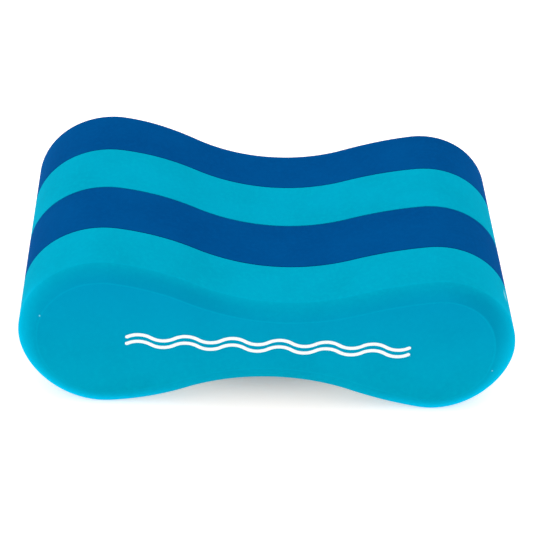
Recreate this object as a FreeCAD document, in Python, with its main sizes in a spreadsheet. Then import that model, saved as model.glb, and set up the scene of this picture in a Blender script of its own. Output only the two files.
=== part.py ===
import FreeCAD, Part
import math
import os
import Sketcher

V = FreeCAD.Vector

# Laminated foam pull buoy, lying on its two lobes.
# X runs along its length with the larger lobe on the minus side, Y runs from the
# printed front slab to the back slab, and Z is up from the floor.

doc = FreeCAD.newDocument("pull_buoy")
sheet = doc.addObject("Spreadsheet::Sheet", "sheet")
sheet.Label = "sheet"

SIZES = [
    ("length", 240.0, "end to end along the long axis"),
    ("big_lobe_height", 82.0, "height of the larger lobe"),
    ("small_lobe_height", 76.0, "height of the smaller lobe"),
    ("waist_height", 44.0, "height between the two thigh hollows"),
    ("big_flank_radius", 126.0, "long curve from the larger lobe to the waist"),
    ("small_flank_radius", 200.0, "long curve from the smaller lobe to the waist"),
    ("big_flank_start", 5.9, "degrees past its crest at which the larger lobe ends"),
    ("small_flank_start", 9.4, "degrees past its crest at which the smaller lobe ends"),
    ("layer_thickness", 34.5, "each foam slab"),
    ("film_thickness", 0.4, "each adhesive film"),
    ("film_inset", 0.6, "how far a film stops inside the foam's skin"),
    ("front_round", 7.5, "rounding of the front slab's outer edge"),
    ("back_round", 7.0, "rounding of the back slab's outer edge"),
    ("ink_thickness", 0.15, "printed ink above the foam"),
    ("wave_pitch", 11.3, "length of one half wave"),
    ("wave_bend_radius", 10.8, "centre line radius of each half wave"),
    ("wave_stroke", 1.8, "width of a printed line"),
    ("wave_gap", 4.0, "spacing of the two printed lines"),
    ("wave_offset_x", 0.0, "middle of the print along the length"),
    ("wave_offset_z", 0.0, "middle of the print above the long axis"),
]

for row, (alias, value, note) in enumerate(SIZES, start=1):
    sheet.set(f"A{row}", alias)
    sheet.set(f"B{row}", str(value))
    sheet.setAlias(f"B{row}", alias)
    sheet.set(f"C{row}", note)
doc.recompute()


def size(alias):
    """The value of one named cell."""
    return float(getattr(sheet, alias))


def new_body(name):
    """An empty body with its node name as label."""
    body = doc.addObject("PartDesign::Body", name)
    body.Label = name
    return body


def front_sketch(body, name):
    """A sketch on the body's own XZ plane: sketch x is X and sketch y is Z."""
    sketch = body.newObject("Sketcher::SketchObject", name)
    planes = [f for f in body.Origin.OriginFeatures if f.Role == "XZ_Plane"]
    sketch.AttachmentSupport = (planes[0], [""])
    sketch.MapMode = "FlatFace"
    return sketch


def arc(sketch, cx, cy, radius, start, end):
    """Add an anticlockwise arc, angles in radians, and return its index."""
    circle = Part.Circle(V(cx, cy, 0), V(0, 0, 1), radius)
    return sketch.addGeometry(Part.ArcOfCircle(circle, start, end), False)


def rule(sketch, kind, *values, bind=None):
    """Add one constraint, bound to the sheet when an expression is given."""
    index = sketch.addConstraint(Sketcher.Constraint(kind, *values))
    if bind:
        sketch.setExpression(f"Constraints[{index}]", bind)
    return index


def pad(body, sketch, name, bind):
    """Extrude the sketch towards +Y by an expression."""
    feature = body.newObject("PartDesign::Pad", name)
    feature.Profile = sketch
    feature.Reversed = True
    feature.setExpression("Length", bind)
    sketch.Visibility = False
    return feature


def waist_circle(left, right, half_waist):
    """Centre x and radius of the hollow that touches both flank circles, each (x, y, radius)."""
    terms = []
    for x, y, radius in (left, right):
        rise = half_waist - y
        terms.append((1 / (2 * (radius - rise)), x, rise**2 - radius**2))
    (al, xl, kl), (ar, xr, kr) = terms
    a = al - ar
    b = 2 * (ar * xr - al * xl)
    c = al * (xl**2 + kl) - ar * (xr**2 + kr)
    if abs(a) < 1e-12:
        w = -c / b
    else:
        root = math.sqrt(b * b - 4 * a * c)
        w = min((-b + root) / (2 * a), (-b - root) / (2 * a), key=abs)
    return w, al * ((w - xl) ** 2 + kl)


def outline(body, inset):
    """The figure-eight outline of eight tangent arcs, drawn in by inset times film_inset."""
    step = size("film_inset") * inset
    big = size("big_lobe_height") / 2 - step
    small = size("small_lobe_height") / 2 - step
    half_waist = size("waist_height") / 2 - step
    radius_l = size("big_flank_radius") - step
    radius_r = size("small_flank_radius") - step
    xl = size("length") / 2 - step - big
    xr = size("length") / 2 - step - small
    past_l = math.radians(size("big_flank_start"))
    past_r = math.radians(size("small_flank_start"))
    # flank centres, on the line through each lobe's centre and its joint
    ax = (radius_l - big) * math.sin(past_l) + xl
    ay = (radius_l - big) * math.cos(past_l)
    bx = (radius_r - small) * math.sin(past_r) + xr
    by = (radius_r - small) * math.cos(past_r)
    w, hollow = waist_circle((-ax, -ay, radius_l), (bx, -by, radius_r), half_waist)
    wy = half_waist + hollow
    # directions from each flank centre to the hollow's centre, and of each joint
    to_l = math.atan2(wy + ay, w + ax)
    to_r = math.atan2(wy + by, w - bx)
    up_l = math.pi / 2 - past_l
    up_r = math.pi / 2 + past_r

    sketch = front_sketch(body, f"{body.Name}_outline")
    end_l = arc(sketch, -xl, 0, big, up_l, 2 * math.pi - up_l)
    flank_ul = arc(sketch, -ax, -ay, radius_l, to_l, up_l)
    waist_u = arc(sketch, w, wy, hollow, to_l - math.pi, to_r - math.pi)
    flank_ur = arc(sketch, bx, -by, radius_r, up_r, to_r)
    end_r = arc(sketch, xr, 0, small, -up_r, up_r)
    flank_lr = arc(sketch, bx, by, radius_r, -to_r, -up_r)
    waist_l = arc(sketch, w, -wy, hollow, math.pi - to_r, math.pi - to_l)
    flank_ll = arc(sketch, -ax, ay, radius_l, -up_l, -to_l)
    lowest = sketch.addGeometry(Part.Point(V(w, half_waist, 0)), True)

    # every joint is smooth
    rule(sketch, "Tangent", end_l, 1, flank_ul, 2)
    rule(sketch, "Tangent", flank_ul, 1, waist_u, 1)
    rule(sketch, "Tangent", waist_u, 2, flank_ur, 2)
    rule(sketch, "Tangent", flank_ur, 1, end_r, 2)
    rule(sketch, "Tangent", end_r, 1, flank_lr, 2)
    rule(sketch, "Tangent", flank_lr, 1, waist_l, 1)
    rule(sketch, "Tangent", waist_l, 2, flank_ll, 2)
    rule(sketch, "Tangent", flank_ll, 1, end_l, 2)
    # both halves are alike about the long axis
    rule(sketch, "PointOnObject", end_l, 3, -1)
    rule(sketch, "PointOnObject", end_r, 3, -1)
    rule(sketch, "Vertical", end_l, 1, end_l, 2)
    rule(sketch, "Vertical", end_r, 1, end_r, 2)
    rule(sketch, "Equal", flank_ul, flank_ll)
    rule(sketch, "Equal", flank_ur, flank_lr)
    rule(sketch, "Equal", waist_u, waist_l)
    rule(sketch, "PointOnObject", lowest, 1, waist_u)
    rule(sketch, "Vertical", lowest, 1, waist_u, 3)

    less = f" - sheet.film_inset * {inset}"
    half_big = "sheet.big_lobe_height / 2"
    half_small = "sheet.small_lobe_height / 2"
    shift_l = f"({half_big}{less}) * sin(sheet.big_flank_start * 1 deg)"
    shift_r = f"({half_small}{less}) * sin(sheet.small_flank_start * 1 deg)"
    joint_l = big * math.sin(past_l)
    joint_r = small * math.sin(past_r)
    rule(sketch, "Radius", end_l, big, bind=half_big + less)
    rule(sketch, "Radius", end_r, small, bind=half_small + less)
    rule(sketch, "Radius", flank_ul, radius_l, bind="sheet.big_flank_radius" + less)
    rule(sketch, "Radius", flank_ur, radius_r, bind="sheet.small_flank_radius" + less)
    rule(sketch, "DistanceX", end_l, 3, -1, 1, xl, bind=f"sheet.length / 2 - {half_big}")
    rule(sketch, "DistanceX", -1, 1, end_r, 3, xr, bind=f"sheet.length / 2 - {half_small}")
    rule(sketch, "DistanceX", end_l, 3, end_l, 1, joint_l, bind=shift_l)
    rule(sketch, "DistanceX", end_r, 2, end_r, 3, joint_r, bind=shift_r)
    rule(sketch, "DistanceY", -1, 1, lowest, 1, half_waist, bind="sheet.waist_height / 2" + less)
    return sketch


def flat_face_at(feature, y):
    """The name of the flat face whose middle is at this depth."""
    for index, face in enumerate(feature.Shape.Faces, start=1):
        if face.Surface.TypeId == "Part::GeomPlane" and abs(face.CenterOfMass.y - y) < 1e-4:
            return f"Face{index}"
    raise ValueError(f"no flat face at {y}")


def foam_layer(name, edge=None, bind=None):
    """One foam slab, with its outer edge rounded when it is the front or back one."""
    body = new_body(name)
    slab = pad(body, outline(body, 0), f"{name}_slab", "sheet.layer_thickness")
    doc.recompute()
    if edge:
        y = 0.0 if edge == "front" else size("layer_thickness")
        rounding = body.newObject("PartDesign::Fillet", f"{name}_rounding")
        rounding.Base = (slab, [flat_face_at(slab, y)])
        rounding.setExpression("Radius", bind)
        doc.recompute()
    return body


def adhesive_film(name):
    """One thin bond between two slabs, stopping just inside their skin."""
    body = new_body(name)
    pad(body, outline(body, 1), f"{name}_sheet", "sheet.film_thickness")
    return body


def wave_line(name, halves=12):
    """One printed line of half waves, as a closed ribbon with round ends."""
    body = new_body(name)
    sketch = front_sketch(body, f"{name}_outline")
    pitch = size("wave_pitch")
    bend = size("wave_bend_radius")
    stroke = size("wave_stroke")
    drop = math.sqrt(bend**2 - (pitch / 2) ** 2)
    lean = math.atan2(drop, pitch / 2)
    outer, inner, centres = [], [], []
    for k in range(halves):
        cx = (k - (halves - 1) / 2) * pitch
        rising = k % 2 == 0
        cy = -drop if rising else drop
        start, end = (lean, math.pi - lean) if rising else (math.pi + lean, -lean)
        grow = stroke / 2 if rising else -stroke / 2
        outer.append(arc(sketch, cx, cy, bend + grow, start, end))
        inner.append(arc(sketch, cx, cy, bend - grow, start, end))
        centres.append((cx, cy))
    # round ends
    x0 = centres[0][0] - pitch / 2
    x1 = centres[-1][0] + pitch / 2
    cap_l = arc(sketch, x0, 0, stroke / 2, math.pi - lean, -lean)
    cap_r = arc(sketch, x1, 0, stroke / 2, -lean, math.pi - lean)
    if halves % 2:
        raise ValueError("an even number of half waves keeps both ends alike")

    for chain in (outer, inner):
        for k in range(halves - 1):
            left_end = 1 if k % 2 == 0 else 2
            right_end = 2 if (k + 1) % 2 == 0 else 1
            rule(sketch, "Tangent", chain[k], left_end, chain[k + 1], right_end)
    rule(sketch, "Radius", outer[0], bend + stroke / 2, bind="sheet.wave_bend_radius + sheet.wave_stroke / 2")
    rule(sketch, "Radius", inner[0], bend - stroke / 2, bind="sheet.wave_bend_radius - sheet.wave_stroke / 2")
    for k in range(halves):
        rule(sketch, "Coincident", outer[k], 3, inner[k], 3)
        reach = abs(centres[k][0])
        bound = f"sheet.wave_pitch * {abs(k - (halves - 1) / 2)}"
        fall = "sqrt(sheet.wave_bend_radius ^ 2 - (sheet.wave_pitch / 2) ^ 2)"
        if centres[k][0] < 0:
            rule(sketch, "DistanceX", outer[k], 3, -1, 1, reach, bind=bound)
        else:
            rule(sketch, "DistanceX", -1, 1, outer[k], 3, reach, bind=bound)
        if centres[k][1] < 0:
            rule(sketch, "DistanceY", outer[k], 3, -1, 1, drop, bind=fall)
        else:
            rule(sketch, "DistanceY", -1, 1, outer[k], 3, drop, bind=fall)
    # each cap joins both edges smoothly, centred on the line's axis
    rule(sketch, "Tangent", cap_l, 1, outer[0], 2)
    rule(sketch, "Tangent", cap_l, 2, inner[0], 2)
    rule(sketch, "PointOnObject", cap_l, 3, -1)
    rule(sketch, "Tangent", cap_r, 2, outer[-1], 2)
    rule(sketch, "Tangent", cap_r, 1, inner[-1], 2)
    rule(sketch, "PointOnObject", cap_r, 3, -1)
    pad(body, sketch, f"{name}_ink", "sheet.ink_thickness")
    return body


def resting_tilt():
    """Angle in degrees, and height of the long axis, when both lobes touch the floor."""
    big = size("big_lobe_height") / 2
    small = size("small_lobe_height") / 2
    apart = size("length") - big - small
    tilt = math.asin((big - small) / apart)
    from_middle = size("length") / 2 - big
    return math.degrees(tilt), big - from_middle * math.sin(tilt)


front = foam_layer("front_foam_layer", "front", "sheet.front_round")
second = foam_layer("second_foam_layer")
third = foam_layer("third_foam_layer")
back = foam_layer("back_foam_layer", "back", "sheet.back_round")
film_1 = adhesive_film("front_adhesive_film")
film_2 = adhesive_film("middle_adhesive_film")
film_3 = adhesive_film("back_adhesive_film")
upper = wave_line("printed_wave_upper")
lower = wave_line("printed_wave_lower")

# stack the pieces from the front, then lay the stack on its two lobes
slab = size("layer_thickness")
film = size("film_thickness")
ink = size("ink_thickness")
depth = 4 * slab + 3 * film
face_y = ink - (depth + ink) / 2
tilt, height = resting_tilt()
turn = FreeCAD.Rotation(V(0, 1, 0), tilt)


def place(body, x, y, z):
    """Put a body at a point given along the long axis, in depth and above that axis."""
    body.Placement = FreeCAD.Placement(turn.multVec(V(x, y, z)) + V(0, 0, height), turn)


for index, body in enumerate((front, second, third, back)):
    place(body, 0, face_y + index * (slab + film), 0)
for index, body in enumerate((film_1, film_2, film_3)):
    place(body, 0, face_y + slab + index * (slab + film), 0)
mark_x = size("wave_offset_x")
mark_z = size("wave_offset_z")
half_gap = size("wave_gap") / 2
place(upper, mark_x, face_y - ink, mark_z + half_gap)
place(lower, mark_x, face_y - ink, mark_z - half_gap)
doc.recompute()

bodies = (front, second, third, back, film_1, film_2, film_3, upper, lower)
for item in doc.Objects:
    if "Invalid" in item.State or "Error" in item.State:
        raise ValueError(f"{item.Label} did not build: {item.State}")
for body in bodies:
    if body.Shape.isNull() or not body.Shape.isValid():
        raise ValueError(f"{body.Label} has no valid shape")

os.makedirs("parts", exist_ok=True)
for body in bodies:
    box = body.Shape.BoundBox
    body.Shape.exportStep(f"parts/{body.Label}.step")
    print(
        f"{body.Label}: {len(body.Shape.Solids)} solid, {body.Shape.Volume:.1f} mm3,",
        f"x {box.XMin:.2f}..{box.XMax:.2f} y {box.YMin:.2f}..{box.YMax:.2f} z {box.ZMin:.2f}..{box.ZMax:.2f}",
    )
print(f"tilt {tilt:.3f} degrees, long axis {height:.3f} mm above the floor")
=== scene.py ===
# %% [markdown]
# # A laminated foam pull buoy
#
# A pull buoy is a float that a swimmer holds between the thighs. This one is four slabs of
# closed-cell EVA foam glued face to face, cut to a figure eight and rounded at its outer edges.
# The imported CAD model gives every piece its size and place. This notebook builds the look
# around it: the foam's cut surfaces, the glue lines, the printed ink and a plain studio.

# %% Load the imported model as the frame
import math

import bpy
from mathutils import Matrix, Vector, noise


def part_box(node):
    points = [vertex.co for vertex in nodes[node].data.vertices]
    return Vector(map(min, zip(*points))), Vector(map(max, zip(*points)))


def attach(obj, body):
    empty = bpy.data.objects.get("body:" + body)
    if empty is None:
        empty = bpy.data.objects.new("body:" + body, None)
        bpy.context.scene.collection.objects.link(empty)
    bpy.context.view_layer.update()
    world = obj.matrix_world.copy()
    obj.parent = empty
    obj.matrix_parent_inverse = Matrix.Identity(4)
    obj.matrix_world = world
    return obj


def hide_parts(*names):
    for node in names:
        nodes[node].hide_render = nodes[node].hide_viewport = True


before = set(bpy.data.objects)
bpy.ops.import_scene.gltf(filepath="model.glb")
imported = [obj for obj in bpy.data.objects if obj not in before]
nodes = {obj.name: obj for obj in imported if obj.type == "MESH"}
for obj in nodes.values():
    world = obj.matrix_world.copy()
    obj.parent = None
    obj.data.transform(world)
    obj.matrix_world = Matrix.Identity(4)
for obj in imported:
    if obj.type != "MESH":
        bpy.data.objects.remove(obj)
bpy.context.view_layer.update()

# %% [markdown]
# ## The outline
#
# Seen from the front, the float is eight arcs that meet smoothly: a round end and two long
# flanks for each lobe, and one hollow above and one below for the thighs. A spline drawn by
# hand through a few points would wobble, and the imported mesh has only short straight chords,
# so the arcs are worked out exactly, each from its own radius. The two lobes differ a little
# in height, so the float leans by about one degree when it lies on them.

# %% Sizes of the outline, in metres
MM = 0.001
HALF_LENGTH = 120.0 * MM
BIG_LOBE = 41.0 * MM  # radius of the larger lobe's round end
SMALL_LOBE = 38.0 * MM
HALF_WAIST = 22.0 * MM
BIG_FLANK = 126.0 * MM  # radius of the long curve beside the larger lobe
SMALL_FLANK = 200.0 * MM
BIG_PAST = math.radians(5.9)  # how far past its crest the larger lobe's end runs
SMALL_PAST = math.radians(9.4)

big_x = BIG_LOBE - HALF_LENGTH
small_x = HALF_LENGTH - SMALL_LOBE
LEAN = math.asin((BIG_LOBE - SMALL_LOBE) / (small_x - big_x))
AXIS_HEIGHT = BIG_LOBE + big_x * math.sin(LEAN)
print(f"lean {math.degrees(LEAN):.2f} degrees, long axis {AXIS_HEIGHT / MM:.1f} mm up")

# %% The hollow that touches both flanks
HALVINGS = 60  # each one halves the gap in which the hollow's middle is looked for


def flank_centre(lobe_x, lobe, flank, past, side):
    """Centre of a flank circle. It lies on the line through the lobe's centre and their joint."""
    reach = flank - lobe
    return Vector((lobe_x + side * reach * math.sin(past), -reach * math.cos(past)))


def hollow_circle(left, left_radius, right, right_radius):
    """Centre x and radius of the circle that rests on both flanks and dips to the waist."""
    low, high = big_x, small_x
    for _ in range(HALVINGS):
        x = (low + high) / 2
        radii = []
        for centre, radius in ((left, left_radius), (right, right_radius)):
            rise = HALF_WAIST - centre.y
            span = (x - centre.x) ** 2 + rise**2 - radius**2
            radii.append(span / (2 * (radius - rise)))
        if radii[0] < radii[1]:
            low = x
        else:
            high = x
    return x, radii[0]


big_flank = flank_centre(big_x, BIG_LOBE, BIG_FLANK, BIG_PAST, -1)
small_flank = flank_centre(small_x, SMALL_LOBE, SMALL_FLANK, SMALL_PAST, 1)
hollow_x, hollow = hollow_circle(big_flank, BIG_FLANK, small_flank, SMALL_FLANK)
hollow_centre = Vector((hollow_x, HALF_WAIST + hollow))
print(f"thigh hollow radius {hollow / MM:.1f} mm")

# %% Points round the outline, each with its outward direction
HALF_STEPS = 330  # about one point every millimetre
ROUNDING_ERROR = 1e-9


def upper_arcs():
    """The five arcs of the upper half, from the right tip to the left one."""
    to_right = math.atan2(hollow_centre.y - small_flank.y, hollow_centre.x - small_flank.x)
    to_left = math.atan2(hollow_centre.y - big_flank.y, hollow_centre.x - big_flank.x)
    crest_right = math.pi / 2 + SMALL_PAST
    crest_left = math.pi / 2 - BIG_PAST
    return [
        (Vector((small_x, 0)), SMALL_LOBE, 0.0, crest_right, 1),
        (small_flank, SMALL_FLANK, crest_right, to_right, 1),
        (hollow_centre, hollow, to_right - math.pi, to_left - math.pi, -1),
        (big_flank, BIG_FLANK, to_left, crest_left, 1),
        (Vector((big_x, 0)), BIG_LOBE, crest_left, math.pi, 1),
    ]


def half_outline(steps):
    """steps + 1 evenly spaced (point, outward direction) pairs along the upper half."""
    arcs = upper_arcs()
    lengths = [radius * abs(end - start) for _, radius, start, end, _ in arcs]
    total = sum(lengths)
    made = []
    for k in range(steps + 1):
        left_to_go = total * k / steps
        for (centre, radius, start, end, sign), length in zip(arcs, lengths):
            if left_to_go <= length + ROUNDING_ERROR:
                break
            left_to_go -= length
        angle = start + (end - start) * min(left_to_go / length, 1.0)
        out = Vector((math.cos(angle), math.sin(angle)))
        made.append((centre + out * radius, out * sign))
    return made


upper = half_outline(HALF_STEPS)
lower = [(Vector((p.x, -p.y)), Vector((n.x, -n.y))) for p, n in upper[-2:0:-1]]
OUTLINE = upper + lower
print(len(OUTLINE), "points round the outline")

# %% [markdown]
# ## How far the edges are rounded
#
# The float's outer edges are rounded by hand on a sanding wheel, so the front rounding is wider
# at the ends and runs further back on top, and the back edge is worked most in the hollows. A
# bevel modifier gives one even radius. Here each point of the outline has a width and a depth
# of its own, worked out from where it is and which way it faces.

# %% Where the rounding is large and where it is small
HOLLOW_REACH = 62 * MM  # how far the waist reaches to each side of its middle
RIGHT_END_WIDER = 0.32  # extra width of the front rounding at the right tip
LEFT_END_WIDER = 0.14
FRONT_DEPTH = 0.64  # depth of the front rounding at the tips, as a share of its whole arc
TOP_DEEPER = 0.17  # added on top, and taken away underneath
UNDERCUT = 0.5  # added where the lobes turn under
LOBE_BACK = 0.5  # the back rounding on the lobes, as a share of that in the hollows


def hollowness(spot):
    """1 in the middle of the waist, fading to 0 on the lobes."""
    return math.exp(-(((spot.x - hollow_x) / HOLLOW_REACH) ** 4))


def front_size(spot, out):
    """Width and depth of the front rounding, as shares of the whole arc."""
    width = 1.0 + (RIGHT_END_WIDER if out.x > 0 else LEFT_END_WIDER) * abs(out.x) ** 3
    depth = FRONT_DEPTH + TOP_DEEPER * out.y + UNDERCUT * out.x**2 * max(0.0, -out.y)
    return width, depth


def back_size(spot, out):
    """The back edge was pressed on the wheel in the hollows and only touched at the lobes."""
    share = LOBE_BACK + (1 - LOBE_BACK) * hollowness(spot)
    return share, share


def even_size(spot, out):
    """A glue line is softened by the same hair's breadth all round."""
    return 1.0, 1.0


for label, tip in (("right", upper[0]), ("left", upper[-1])):
    print(label, "tip: front rounding", [round(share, 2) for share in front_size(*tip)])

# %% [markdown]
# ## The skin, and painted light and shade
#
# The front and back faces keep the smooth skin that the foam has from its mould. Its tone fades
# towards the bottom of each face, which paints light from below onto the lower face. A band on
# the rounding is painted shade, darkest at its upper right, and the rounding's ends and underside
# are painted lighter as rim light. The creases are a little lighter, as wear and as a painted
# highlight. A painted mask would need an image. These masks are worked out from the outline's
# directions instead, and the mesh hands them to the foam material as values at its points.

# %% The masks
BAND_SHADE_TOP = 0.02  # how much painted shade the band has along the top
BAND_SHADE_RIGHT = 0.15  # at the right tip
BAND_SHADE_UPPER_RIGHT = 0.70  # and between the two, where the painted shade is deepest
RIM_LIGHT_FADE = 1.2  # how fast the painted rim light is lost towards the top
RIM_LIGHT_SPREAD = 0.5  # how much earlier on the rounding it is full underneath
RIM_LIGHT_CURVE = 1.2  # above 1, it starts gently from the face


def skin_fading_as_painted_light(height):
    """1 near the top of the face, falling towards the bottom to paint light from below onto it."""
    return min(1.0, height / (2 * SMALL_LOBE))


def painted_band_shade(out, share):
    """Painted shade: none on the flat face, all of it on the near half of the rounding, none at
    the wall.
    """
    to_right, to_top = max(0.0, out.x), max(0.0, out.y)
    # the strength of the painted shade at this point of the outline
    pressed = BAND_SHADE_TOP * (1 + out.y) + BAND_SHADE_RIGHT * to_right
    pressed += BAND_SHADE_UPPER_RIGHT * to_right * to_top
    return pressed * min(1.0, 2 * (1 - share)) * (share > 0)


def rim_light_amount(spot, out, share):
    """Painted rim light on the rounding: full at the ends and underneath, none on top or in the
    waist.
    """
    exposed = max(0.0, min(1.0, 1.0 - RIM_LIGHT_FADE * out.y)) * (1 - hollowness(spot))
    reach = 1 + RIM_LIGHT_SPREAD * min(0.0, out.y)
    return exposed * min(1.0, share / reach) ** RIM_LIGHT_CURVE


# the painted rim light at the right tip
print("painted_light at the right tip:", round(rim_light_amount(*upper[0], 1.0), 2))

# %% [markdown]
# ## The nick and the saw's wander
#
# Soft foam takes a dent from a fingernail or a pool edge. A Boolean cut would leave hard edges,
# so the nick is a smooth dip that pushes points inwards. The walls also wander in and out by a
# tenth of a millimetre, because the slabs were glued first and the block was sawn afterwards.

# %% The nick, in the front slab above the tip of the smaller lobe
NICK_ANGLE = math.radians(28)
NICK = Vector((small_x + SMALL_LOBE * math.cos(NICK_ANGLE), SMALL_LOBE * math.sin(NICK_ANGLE)))
NICK_DEPTH = 0.6 * MM
NICK_WIDTH = 2.0 * MM
NICK_RUN = 4.5 * MM
NICK_FROM_GLUE = 10.0 * MM
front_y, first_glue_y = (corner.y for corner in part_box("front_foam_layer"))
nick_y = first_glue_y - NICK_FROM_GLUE


def nick_at(flat, depth):
    """How deep the nick is at a point of the front slab."""
    if depth > first_glue_y:
        return 0.0
    across = (flat - NICK).length / NICK_WIDTH
    along = (nick_y - depth) / NICK_RUN
    return NICK_DEPTH * math.exp(-(across**2) - along**2)


print(f"nick {nick_at(NICK, nick_y) / MM:.1f} mm deep")

# %% One point of the foam, from outline and depth
to_world = Matrix.Translation((0, 0, AXIS_HEIGHT)) @ Matrix.Rotation(LEAN, 4, "Y")
WANDER = 0.10 * MM
WANDER_LENGTH = 32 * MM
ALONG_CUT = 0.35  # the wander changes more slowly along the blade


def foam_point(spot, out, inset, depth):
    """A point on the wall or the rounding, inset from the outline at that depth."""
    flat = spot - out * inset
    shift = WANDER * noise.noise(Vector((flat.x, depth * ALONG_CUT, flat.y)) / WANDER_LENGTH)
    flat = flat + out * (shift - nick_at(flat, depth))
    return to_world @ Vector((flat.x, depth, flat.y))


tip = foam_point(*upper[0], 0.0, first_glue_y)
print("right tip at the first glue line, in mm:", [round(v / MM, 2) for v in tip])

# %% [markdown]
# ## The foam slabs
#
# Each slab is a ring of points carried along a side view: in from the flat face, round the
# outer edge, and straight back along the cut wall. Scaling a flat shape would pinch the waist,
# so every ring moves in along the outline's own normals. The walls line up from slab to slab,
# with only a hair's breadth of softening at each glue line.
#
# A hand-sanded edge is an arc that doesn't quite run out smoothly: there is a faint crease
# where it meets the wall and another where it meets the face.

# %% The side view of one edge
LIP = 0.4 * MM  # a row of points this far outside each crease keeps the shading tight
LIP_SHARE = 0.06  # or on a small edge, this share of its size


def rounded_edge(size, crease_wall, crease_face, steps):
    """(inset, depth, share, crease) from the flat face to the wall, for an arc of that inset.

    The two creases are the angles by which the arc misses the wall and the face. share runs
    from 0 where the arc leaves the face to 1 at the wall, and crease is 1 on its two creases.
    """
    first, last = crease_wall, math.pi / 2 - crease_face
    radius = size / (math.cos(first) - math.cos(last))
    run = radius * (math.sin(last) - math.sin(first))
    lip = min(LIP_SHARE * size, LIP)
    made = [(size + lip, 0.0, 0.0, 0.0)]
    for k in range(steps + 1):
        angle = last + (first - last) * k / steps
        inset = radius * (math.cos(first) - math.cos(angle))
        depth = radius * (math.sin(last) - math.sin(angle))
        made.append((inset, depth, k / steps, 1.0 if k in (0, steps) else 0.0))
    made.append((0.0, run + lip, 1.0, 0.0))
    return made


GLUE_EDGE = {"size": 0.2 * MM, "crease_wall": 0.0, "crease_face": 0.0, "steps": 3}
FRONT_EDGE = {
    "size": 8.0 * MM,
    "crease_wall": math.radians(14),
    "crease_face": math.radians(12),
    "steps": 16,
}
BACK_EDGE = {
    "size": 7.0 * MM,
    "crease_wall": math.radians(4),
    "crease_face": math.radians(6),
    "steps": 16,
}
print("rows of points on the front rounding:", len(rounded_edge(**FRONT_EDGE)))

# %% Closing a face with columns across the float
FACE_ROWS = 26
FACE_WANDER = 0.04 * MM  # less than the walls, so that the print stays proud of the face
SETTLE_ROWS = 4  # rows over which the wander grows from nothing at the rim


def close_face(verts, faces, ring, y, side):
    """Fill a ring with columns from the upper edge to the lower one. side is -1 at the front."""
    half = len(ring) // 2
    columns = [[ring[0]] * (FACE_ROWS + 1)]
    for k in range(1, half):
        top, bottom = verts[ring[k]], verts[ring[len(ring) - k]]
        column = [ring[k]]
        for r in range(1, FACE_ROWS):
            p = top.lerp(bottom, r / FACE_ROWS)
            bump = noise.noise(Vector((p.x, y, p.z)) / WANDER_LENGTH) * side * FACE_WANDER
            settled = min(r, FACE_ROWS - r, k, half - k) / SETTLE_ROWS
            p.y = y + bump * min(1.0, settled)
            column.append(len(verts))
            verts.append(p)
        column.append(ring[len(ring) - k])
        columns.append(column)
    columns.append([ring[half]] * (FACE_ROWS + 1))
    for left, right in zip(columns, columns[1:]):
        for r in range(FACE_ROWS):
            corners = [left[r], right[r], right[r + 1], left[r + 1]]
            corners = list(dict.fromkeys(corners))
            faces.append(corners[::-1] if side > 0 else corners)


print("rows down each face:", FACE_ROWS)

# %% Where each row of a slab runs
WALL_ROWS = 14
RIM_LIGHT_LENGTH = 8 * MM  # how far the painted rim light fades along the wall


def on_row(row, last, spot, out, ends):
    """(inset, depth, share, crease, pale) of one point, on rows from the front to the back.

    ends holds the side view, size rule, depth and painted rim light of the front edge, then the
    back's.
    """
    (front_view, front_rule, face_y, front_rim_light), (back_view, back_rule, rear_y, back_rim_light) = ends
    front_width, front_run = front_rule(spot, out)
    back_width, back_run = back_rule(spot, out)
    if row < len(front_view):
        inset, depth, share, crease = front_view[row]
        return inset * front_width, face_y + depth * front_run, share, crease, front_rim_light
    if row > last - len(back_view):
        inset, depth, share, crease = back_view[last - row]
        return inset * back_width, rear_y - depth * back_run, share, crease, back_rim_light
    near = face_y + front_view[-1][1] * front_run
    far = rear_y - back_view[-1][1] * back_run
    depth = near + (far - near) * ((row - len(front_view) + 1) / WALL_ROWS)
    pale = front_rim_light * math.exp((near - depth) / RIM_LIGHT_LENGTH)
    pale += back_rim_light * math.exp((depth - far) / RIM_LIGHT_LENGTH)
    return 0.0, depth, 1.0, 0.0, pale


print("rows along each wall:", WALL_ROWS)


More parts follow.
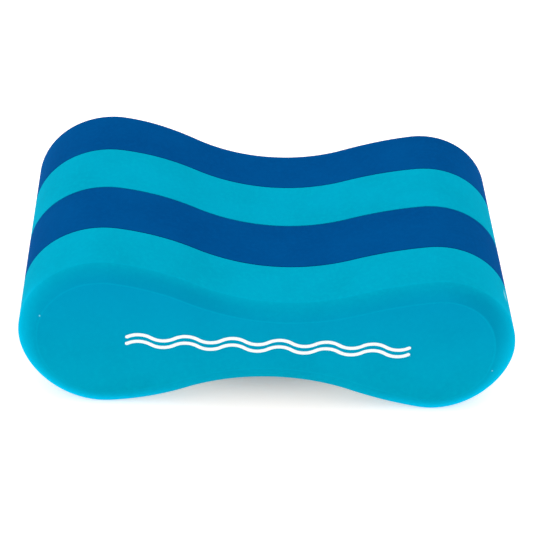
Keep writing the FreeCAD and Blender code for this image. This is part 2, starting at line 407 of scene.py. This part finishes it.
# %% Building a slab
def foam_slab(name, node, front=(GLUE_EDGE, even_size, 0.0), back=(GLUE_EDGE, even_size, 0.0)):
    """A closed mesh for one slab, between the depths of its CAD node.

    front and back each hold an edge, its size rule and how much painted rim light it gets.
    """
    low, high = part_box(node)
    ends = [
        (rounded_edge(**edge), rule, y, lit_rim)
        for (edge, rule, lit_rim), y in ((front, low.y), (back, high.y))
    ]
    last = len(ends[0][0]) + len(ends[1][0]) + WALL_ROWS - 2
    rings, verts, faces = [], [], []
    tones = {"skin_and_painted_underlight": [], "painted_shade_band": [], "painted_rim_light": [], "crease_wear_and_painted_highlight": []}
    for row in range(last + 1):
        rings.append(range(len(verts), len(verts) + len(OUTLINE)))
        for spot, out in OUTLINE:
            inset, depth, share, crease, pale = on_row(row, last, spot, out, ends)
            verts.append(foam_point(spot, out, inset, depth))
            # masks: skin fading low down as painted light, painted shade, painted rim light, and
            # crease wear with a painted highlight
            tones["skin_and_painted_underlight"].append(skin_fading_as_painted_light(verts[-1].z) * (1 - share))
            tones["painted_shade_band"].append(painted_band_shade(out, share))
            tones["painted_rim_light"].append(rim_light_amount(spot, out, share) * pale)
            tones["crease_wear_and_painted_highlight"].append(crease)
    for near, far in zip(rings, rings[1:]):
        for k in range(len(OUTLINE)):
            after = (k + 1) % len(OUTLINE)
            faces.append([near[k], far[k], far[after], near[after]])
    close_face(verts, faces, rings[0], low.y, -1)
    close_face(verts, faces, rings[-1], high.y, 1)
    mesh = bpy.data.meshes.new(name)
    mesh.from_pydata([tuple(v) for v in verts], [], faces)
    mesh.validate()
    mesh.shade_smooth()
    # the flat faces carry only the skin mask, which fades low down as painted light
    for label, values in tones.items():
        on_face = verts[len(values) :]
        values += [skin_fading_as_painted_light(p.z) if label == "skin_and_painted_underlight" else 0.0 for p in on_face]
        mesh.attributes.new(label, "FLOAT", "POINT").data.foreach_set("value", values)
    slab = bpy.data.objects.new(name, mesh)
    bpy.context.scene.collection.objects.link(slab)
    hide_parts(node)
    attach(slab, "root")
    print(f"{name}: {len(mesh.vertices)} points, {(high.y - low.y) / MM:.1f} mm thick")
    return slab


# the front slab's front edge and the back slab's back edge get painted rim light
front_slab = foam_slab("front_foam", "front_foam_layer", front=(FRONT_EDGE, front_size, 1.0))
second_slab = foam_slab("second_foam", "second_foam_layer")
third_slab = foam_slab("third_foam", "third_foam_layer")
back_slab = foam_slab("back_foam", "back_foam_layer", back=(BACK_EDGE, back_size, 0.6))

# %% [markdown]
# ## Colours and nodes
#
# Colours are written as the sRGB hex values a designer would pick, and one function turns
# them into the linear values that light is worked out in. A second small function adds a
# shader node with its settings and links, so each material below reads as a list.


# %% Helpers for materials
def linear(hex_colour):
    """An sRGB hex colour as linear red, green, blue and alpha."""
    parts = [int(hex_colour[k : k + 2], 16) / 255 for k in (1, 3, 5)]
    made = [c / 12.92 if c <= 0.04045 else ((c + 0.055) / 1.055) ** 2.4 for c in parts]
    return (*made, 1.0)


def add_node(tree, kind, inputs=None, **settings):
    """Add a node, set its properties, and fill or link its inputs by name or number."""
    node = tree.nodes.new(kind)
    for key, value in settings.items():
        setattr(node, key, value)
    for key, value in (inputs or {}).items():
        if isinstance(value, bpy.types.NodeSocket):
            tree.links.new(value, node.inputs[key])
        else:
            node.inputs[key].default_value = value
    return node


def new_material(name):
    """An empty node material and its tree."""
    material = bpy.data.materials.new(name)
    material.use_nodes = True
    material.node_tree.nodes.clear()
    return material, material.node_tree


print("mid grey #808080 is", round(linear("#808080")[0], 3), "in linear light")

# %% [markdown]
# ## Closed-cell EVA foam
#
# EVA foam is ethylene-vinyl acetate blown into cells a few tenths of a millimetre across. Where
# it is sawn, the cells are cut open, so the surface is matt and even, with hardly any
# highlight. A flat colour would look like card. Three scales of detail make it read as foam:
# the cut cells, a fine grain of lighter cell walls, and a slow drift of colour in the block.
#
# Over those lie the four masks that the mesh carries: the skin on the faces, thinned low down as
# painted light, a band of painted shade on the rounding, a rim of painted light, and the two
# creases, lighter as wear and as a painted highlight. Pale marks come last. Each is a soft ball
# in the object's own space, so no map has to be unwrapped.

# %% Scales and strengths of the foam's patterns
REAL_CELL = 0.3 * MM
CELL = 3 * REAL_CELL  # the real cells are too fine to show, so these are three times as coarse
GRAIN = 2.0 * MM  # a cluster of about seven real cells
DRIFT = 26 * MM  # dye and density change over a few centimetres of a block
# the span of each pattern that is used, then how much of its tint shows at either end of it
DRIFT_SPAN = (0.35, 0.70, 0.0, 1.0)
GRAIN_SPAN = (0.45, 0.75, 0.0, 0.35)
PALE_MARK_SPAN = (0.2, 1.1, 0.8, 0.0)
# masks: skin fading low down as painted light, painted shade, painted rim light, and crease wear
# with a painted highlight
MASK_SPANS = {
    "skin_and_painted_underlight": (0.0, 1.0, 0.0, 0.8),
    "painted_shade_band": (0.0, 1.0, 0.0, 1.0),
    "painted_rim_light": (0.0, 1.0, 0.0, 1.0),
    "crease_wear_and_painted_highlight": (0.0, 1.0, 0.0, 0.4),
}
print(f"cells {CELL / MM:.1f} mm, grain {GRAIN / MM:.0f} mm, drift {DRIFT / MM:.0f} mm")


# %% How near a point is to a pale mark
def distance_to_pale_mark(tree, place, centre, half_size):
    """A socket that is 0 at the mark's middle and 1 at half_size from it."""
    scaled = [
        add_node(
            tree,
            "ShaderNodeVectorMath",
            {0: spot, 1: [1 / size for size in half_size]},
            operation="MULTIPLY",
        )
        for spot in (place, centre)
    ]
    gap = add_node(
        tree,
        "ShaderNodeVectorMath",
        {0: scaled[0].outputs["Vector"], 1: scaled[1].outputs["Vector"]},
        operation="DISTANCE",
    )
    return gap.outputs["Value"]


# the mark in the nick, then one speck near each end of the front face, with their half sizes
PALE_MARKS = [
    (Vector((NICK.x, nick_y, NICK.y)), (1.9 * MM, NICK_RUN, 2.2 * MM)),
    (Vector((10.7 * MM - HALF_LENGTH, front_y, 12.4 * MM)), (0.4 * MM, 1.0 * MM, 0.6 * MM)),
    (Vector((HALF_LENGTH - 10.0 * MM, front_y, -10.4 * MM)), (0.45 * MM, 1.0 * MM, 0.45 * MM)),
]
pale_marks = [(to_world @ centre, half_size) for centre, half_size in PALE_MARKS]
print(len(pale_marks), "scuffs on the front slab")


# %% Laying the tints over each other
def tinted(tree, shade, layers):
    """Mix each layer's tint over the shade below, as far as the layer's pattern says."""
    for source, (low, high, least, most), tint in layers:
        amount = add_node(
            tree,
            "ShaderNodeMapRange",
            {"Value": source, "From Min": low, "From Max": high, "To Min": least, "To Max": most},
        )
        shade = add_node(
            tree,
            "ShaderNodeMix",
            {0: amount.outputs["Result"], 6: shade, 7: linear(tint)},
            data_type="RGBA",
        ).outputs[2]
    return shade


print("tints over the sawn foam:", ", ".join(["drift", "grain", *MASK_SPANS, "pale_mark"]))

# %% The pits of the cut cells
CELL_RELIEF = 0.12 * MM
PIT_DEPTH = 0.5  # how deep a cell lies under the grain round it, as a share of the relief


def cut_cells(tree, place, grain):
    """A normal socket for cut foam: each cell is a pit, and the grain lies between the pits."""
    cells = add_node(tree, "ShaderNodeTexVoronoi", {"Vector": place, "Scale": 1 / CELL})
    pits = add_node(
        tree,
        "ShaderNodeMath",
        {0: cells.outputs["Distance"], 1: -PIT_DEPTH, 2: grain.outputs["Fac"]},
        operation="MULTIPLY_ADD",
    )
    relief = add_node(
        tree,
        "ShaderNodeBump",
        {"Height": pits.outputs["Value"], "Strength": 0.25, "Distance": CELL_RELIEF},
    )
    return relief.outputs["Normal"]


print(f"relief {CELL_RELIEF / MM:.2f} mm")

# %% The two dye colours, and tints that paint light and shade
# the dye's tints, with painted shade for the band, painted light for the rim, a painted highlight
# on the worn creases, and a skin that fades low down as painted light
AQUA = {
    "sawn": "#00a2c1",
    "grain": "#00b0c8",
    "drift": "#009cba",
    "skin_and_painted_underlight": "#0090bd",
    "painted_shade_band": "#0080a6",
    "painted_rim_light": "#00c2ee",
    "crease_wear_and_painted_highlight": "#00aacc",
    "pale_mark": "#9ae6f0",
}
# the same tints for the dark blue dye, with the same painted light and shade
DARK_BLUE = {
    "sawn": "#004d8b",
    "grain": "#005599",
    "drift": "#004885",
    "skin_and_painted_underlight": "#004884",
    "painted_shade_band": "#00447e",
    "painted_rim_light": "#005a9e",
    "crease_wear_and_painted_highlight": "#00559a",
}
print("tints in the aqua dye:", len(AQUA), "and in the dark blue:", len(DARK_BLUE))


# %% The foam material
def eva_foam(name, shades, sheen, pale_marks=()):
    """Closed-cell EVA foam in one dye colour: shades names its tints, the last argument its pale
    marks.
    """
    material, tree = new_material(name)
    place = add_node(tree, "ShaderNodeTexCoord").outputs["Object"]
    grain = add_node(
        tree, "ShaderNodeTexNoise", {"Vector": place, "Scale": 1 / GRAIN, "Detail": 4.0}
    )
    drift = add_node(
        tree, "ShaderNodeTexNoise", {"Vector": place, "Scale": 1 / DRIFT, "Detail": 3.0}
    )
    layers = [
        (drift.outputs["Fac"], DRIFT_SPAN, shades["drift"]),
        (grain.outputs["Fac"], GRAIN_SPAN, shades["grain"]),
    ]
    # these masks paint light and shade into the foam's colour, along with its skin and crease wear
    for label, span in MASK_SPANS.items():
        mask = add_node(tree, "ShaderNodeAttribute", attribute_name=label)
        layers.append((mask.outputs["Fac"], span, shades[label]))
    for centre, half_size in pale_marks:
        away = distance_to_pale_mark(tree, place, centre, half_size)
        layers.append((away, PALE_MARK_SPAN, shades["pale_mark"]))
    rough = add_node(
        tree,
        "ShaderNodeMapRange",
        {"Value": grain.outputs["Fac"], "To Min": 0.86, "To Max": 0.98},
    )
    # cut cells trap nearly all gloss, so the specular level is far under that of solid plastic,
    # and the thin cell walls that stand up give a little sheen in the foam's own colour
    foam = add_node(
        tree,
        "ShaderNodeBsdfPrincipled",
        {
            "Base Color": tinted(tree, linear(shades["sawn"]), layers),
            "Roughness": rough.outputs["Result"],
            "Normal": cut_cells(tree, place, grain),
            "IOR": 1.48,
            "Specular IOR Level": 0.005,
            "Sheen Weight": 0.2,
            "Sheen Roughness": 0.3,
            "Sheen Tint": linear(sheen),
        },
    )
    add_node(tree, "ShaderNodeOutputMaterial", {"Surface": foam.outputs["BSDF"]})
    return material


# both are matt and even, and on the lighter aqua the painted rim light shows more
aqua_foam = eva_foam("aqua_eva_foam", AQUA, "#00d2ff", pale_marks)
blue_foam = eva_foam("dark_blue_eva_foam", DARK_BLUE, "#0068c8")
print("foam:", aqua_foam.name, "and", blue_foam.name)

# %% The foam on the four slabs
for slab, material, slot in (
    (front_slab, aqua_foam, "aqua_foam"),
    (second_slab, blue_foam, "blue_foam"),
    (third_slab, aqua_foam, "aqua_foam"),
    (back_slab, blue_foam, "blue_foam"),
):
    slab.data.materials.append(material)
    print(slab.name, "is", material.name)

# %% [markdown]
# ## Contact adhesive
#
# The slabs are bonded with a thin film of contact adhesive, which dries to a clear skin over
# the dyed foam. The CAD films have the right shape, so they stay and only get a material. They
# stop just inside the foam, so each glue line shows as a fine groove between two colours.

# %% The adhesive material
BRUSH_STREAK = 3 * MM  # the width of the streaks that a glue brush leaves


def dress(names, material):
    """Give CAD nodes a material in place of their plain one."""
    for name in names:
        nodes[name].data.materials.clear()
        nodes[name].data.materials.append(material)
    print(material.name, "on", len(names), "CAD nodes")


# satin rather than matt, in a blue between those of the slabs that show through it
adhesive, tree = new_material("dried_contact_adhesive")
place = add_node(tree, "ShaderNodeTexCoord").outputs["Object"]
streaks = add_node(
    tree, "ShaderNodeTexNoise", {"Vector": place, "Scale": 1 / BRUSH_STREAK, "Detail": 3.0}
)
tint = add_node(
    tree,
    "ShaderNodeMix",
    {0: streaks.outputs["Fac"], 6: linear("#01649a"), 7: linear("#0a7ca8")},
    data_type="RGBA",
)
glue = add_node(
    tree,
    "ShaderNodeBsdfPrincipled",
    {"Base Color": tint.outputs[2], "Roughness": 0.45, "IOR": 1.5, "Specular IOR Level": 0.2},
)
add_node(tree, "ShaderNodeOutputMaterial", {"Surface": glue.outputs["BSDF"]})
dress(("front_adhesive_film", "middle_adhesive_film", "back_adhesive_film"), adhesive)

# %% [markdown]
# ## Printed ink
#
# The mark is screen printed in white ink, which sits on the foam as a thin matt skin. An image
# of the print would blur up close, so the two wave lines are CAD solids, and the ink is their
# material. The foam's grain shows faintly through it.

# %% The ink material
INK_GRAIN = 0.8 * MM  # the cut cells that the ink doesn't quite fill

# opaque and matt, whiter where it lies thick, with a trace of the foam's colour where it is thin
ink, tree = new_material("white_screen_ink")
place = add_node(tree, "ShaderNodeTexCoord").outputs["Object"]
grain = add_node(
    tree, "ShaderNodeTexNoise", {"Vector": place, "Scale": 1 / INK_GRAIN, "Detail": 3.0}
)
amount = add_node(
    tree, "ShaderNodeMapRange", {"Value": grain.outputs["Fac"], "From Min": 0.25, "From Max": 0.45}
)
cover = add_node(
    tree,
    "ShaderNodeMix",
    {0: amount.outputs["Result"], 6: linear("#d4eef3"), 7: linear("#f4fbfc")},
    data_type="RGBA",
)
relief = add_node(
    tree,
    "ShaderNodeBump",
    {"Height": grain.outputs["Fac"], "Strength": 0.2, "Distance": 0.05 * MM},
)
coat = add_node(
    tree,
    "ShaderNodeBsdfPrincipled",
    {
        "Base Color": cover.outputs[2],
        "Roughness": 0.6,
        "IOR": 1.5,
        "Specular IOR Level": 0.3,
        "Normal": relief.outputs["Normal"],
    },
)
add_node(tree, "ShaderNodeOutputMaterial", {"Surface": coat.outputs["BSDF"]})
dress(("printed_wave_upper", "printed_wave_lower"), ink)

# %% [markdown]
# ## The table
#
# Small goods are often set on a table of translucent white acrylic that is lit from below. It
# glows, so it reads as pure white and sends light up under the rounded edges. Real lamps under
# a clear sheet would take long to render without noise, so here the sheet glows itself, as if
# lamps with a slightly warm light stood round an oval beneath the float. Inside the oval it is
# almost dark, which leaves a soft shadow beneath the waist.

# %% The glowing table
REACH = 6.0  # half the table's width, in metres
UNLIT = 26 * MM  # front to back, the glow starts to rise this far from the middle
LIT = 63 * MM  # and is full this far from it
RING_ASPECT = 0.6  # the oval's depth as a share of its width
DIM_GLOW = 0.05
FULL_GLOW = 0.52
HAZE = 60 * MM  # cast acrylic is cloudy on the scale of a hand
corners = [(-REACH, -REACH, 0), (REACH, -REACH, 0), (REACH, REACH, 0), (-REACH, REACH, 0)]
table_mesh = bpy.data.meshes.new("acrylic_table")
table_mesh.from_pydata(corners, [], [(0, 1, 2, 3)])
table = bpy.data.objects.new("acrylic_table", table_mesh)
bpy.context.scene.collection.objects.link(table)
print("table", 2 * REACH, "m wide")

# %% The acrylic material
# opal acrylic, satin on top: a white without a highlight, very slightly cloudy
acrylic, tree = new_material("opal_acrylic")
place = add_node(tree, "ShaderNodeTexCoord").outputs["Object"]
haze = add_node(tree, "ShaderNodeTexNoise", {"Vector": place, "Scale": 1 / HAZE, "Detail": 2.0})
white = add_node(
    tree,
    "ShaderNodeMix",
    {0: haze.outputs["Fac"], 6: linear("#f4f4f4"), 7: linear("#f8f8f8")},
    data_type="RGBA",
)
squeezed = add_node(
    tree, "ShaderNodeVectorMath", {0: place, 1: (RING_ASPECT, 1.0, 1.0)}, operation="MULTIPLY"
)
from_middle = add_node(
    tree, "ShaderNodeVectorMath", {0: squeezed.outputs["Vector"]}, operation="LENGTH"
)
lamps = add_node(
    tree,
    "ShaderNodeMapRange",
    {
        "Value": from_middle.outputs["Value"],
        "From Min": UNLIT,
        "From Max": LIT,
        "To Min": DIM_GLOW,
        "To Max": FULL_GLOW,
    },
    interpolation_type="SMOOTHSTEP",
)
opal = add_node(
    tree,
    "ShaderNodeBsdfPrincipled",
    {
        "Base Color": white.outputs[2],
        "Roughness": 0.9,
        "Specular IOR Level": 0.1,
        "Emission Color": linear("#ffe4d2"),
        "Emission Strength": lamps.outputs["Result"],
    },
)
add_node(tree, "ShaderNodeOutputMaterial", {"Surface": opal.outputs["BSDF"]})
table_mesh.materials.append(acrylic)
print(f"the glow rises from {UNLIT / MM:.0f} to {LIT / MM:.0f} mm from the middle")

# %% [markdown]
# ## The tent
#
# The rest of the light is a white tent with a strong soft bank overhead, another behind the
# float on the left, and a weaker one behind it on the right. They could be area lamps, but a
# world that is brighter in those directions does the same with less noise and no hard edges.


# %% The tent and its banks of light
def towards(turn, tilt):
    """The direction at a turn from the front, anticlockwise from above, and a tilt up."""
    turn, tilt = math.radians(turn), math.radians(tilt)
    return (
        math.sin(turn) * math.cos(tilt),
        -math.cos(turn) * math.cos(tilt),
        math.sin(tilt),
    )


TENT_GLOW = 0.60
BANKS = (
    # where the bank of light is, how tightly it is gathered, and how strong it is
    (towards(0, 90), 3.5, 1.32),
    (towards(-135, 0), 10.0, 2.2),
    (towards(135, 0), 10.0, 0.6),
)
tent = bpy.data.worlds.new("white_tent")
tent.use_nodes = True
tree = tent.node_tree
tree.nodes.clear()
direction = add_node(tree, "ShaderNodeTexCoord").outputs["Generated"]
strength = TENT_GLOW
for bank, gather, power in BANKS:
    facing = add_node(
        tree, "ShaderNodeVectorMath", {0: direction, 1: bank}, operation="DOT_PRODUCT"
    )
    lit = add_node(
        tree, "ShaderNodeMath", {0: facing.outputs["Value"], 1: 0.0}, operation="MAXIMUM"
    )
    lobe = add_node(tree, "ShaderNodeMath", {0: lit.outputs[0], 1: gather}, operation="POWER")
    strength = add_node(
        tree,
        "ShaderNodeMath",
        {0: lobe.outputs[0], 1: power, 2: strength},
        operation="MULTIPLY_ADD",
    ).outputs[0]
glow = add_node(tree, "ShaderNodeBackground", {"Color": (1, 1, 1, 1), "Strength": strength})
add_node(tree, "ShaderNodeOutputWorld", {"Surface": glow.outputs["Background"]})
bpy.context.scene.world = tent
print("tent with", len(BANKS), "banks of light")

# %% [markdown]
# ## The camera
#
# A long lens from nearly a metre away keeps the far slabs almost as large as the near one.
# A tracking constraint would keep the camera level, so its axes are worked out here. It looks
# down on the float from the front, a few degrees from the left, and is rolled a little.

# %% The camera
VIEW_TURN = -3.21  # degrees
VIEW_TILT = 35.96
VIEW_ROLL = math.radians(3.44)
VIEW_DISTANCE = 0.9253
AIM = Vector((0.00056, -0.00244, 0.03769))  # close to the middle of the float
back = Vector(towards(VIEW_TURN, VIEW_TILT))
right = Vector(towards(VIEW_TURN + 90, 0))
up = back.cross(right)
turned_right = right * math.cos(VIEW_ROLL) + up * math.sin(VIEW_ROLL)
turned_up = up * math.cos(VIEW_ROLL) - right * math.sin(VIEW_ROLL)
camera_data = bpy.data.cameras.new("camera")
camera_data.sensor_width = 36.0
camera_data.lens = 122.4
camera = bpy.data.objects.new("camera", camera_data)
axes = Matrix((turned_right, turned_up, back)).transposed()
camera.matrix_world = Matrix.Translation(AIM + back * VIEW_DISTANCE) @ axes.to_4x4()
bpy.context.scene.collection.objects.link(camera)
bpy.context.scene.camera = camera
bpy.context.scene.view_settings.view_transform = "Standard"
print("camera", round(VIEW_DISTANCE, 3), "m from its aim")
